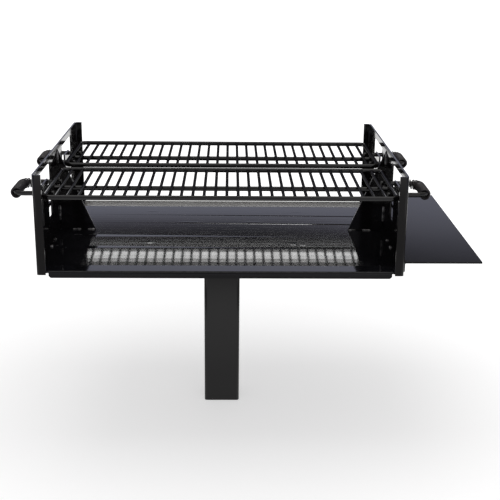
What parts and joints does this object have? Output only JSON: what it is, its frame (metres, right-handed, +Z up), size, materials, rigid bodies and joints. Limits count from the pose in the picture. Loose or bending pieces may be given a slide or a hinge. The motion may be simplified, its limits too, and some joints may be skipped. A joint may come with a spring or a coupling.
{
  "type": "park barbecue grill pedestal",
  "caption": "Group barbecue grill on a square post set in the ground, with a folded fire pan, slotted end plates, lift-up bar grates with wound-wire handle grips, and a side shelf.",
  "frame": {"origin": "middle of the square post where it meets the ground", "axes": "+Z up along the post, +X towards the utility shelf, -Y the side facing the viewer"},
  "size_m": [1.2107, 0.711, 0.755],
  "materials": {
    "enamel": "glossy black enamel",
    "enamel_pan": "glossy black enamel, worn smooth",
    "grate_rod": "semi-gloss black enamel on round steel rod",
    "grip_wire": "satin dark grey wound wire"
  },
  "bodies": {
    "stand": {"post": "enamel", "post_cap_plate": "enamel", "fire_pan": "enamel_pan", "left_end_plate": "enamel", "right_end_plate": "enamel", "left_divider": "enamel", "right_divider": "enamel", "utility_shelf": "enamel_pan"},
    "front_grate": {"front_grate_frame": "grate_rod", "front_grate_bars": "grate_rod", "front_cross_rod": "grate_rod", "front_left_handle": "grate_rod", "front_right_handle": "grate_rod", "front_left_grip": "grip_wire", "front_right_grip": "grip_wire"},
    "back_grate": {"back_grate_frame": "grate_rod", "back_grate_bars": "grate_rod", "back_cross_rod": "grate_rod", "back_left_handle": "grate_rod", "back_right_handle": "grate_rod", "back_left_grip": "grip_wire", "back_right_grip": "grip_wire"}
  },
  "joints": [
    {"name": "front_grate_lift", "type": "slide", "parent": "stand", "child": "front_grate", "axis": [0, 0, 1], "range_m": [-0.087, 0.045]},
    {"name": "back_grate_lift", "type": "slide", "parent": "stand", "child": "back_grate", "axis": [0, 0, 1], "range_m": [-0.087, 0.045]}
  ]
}
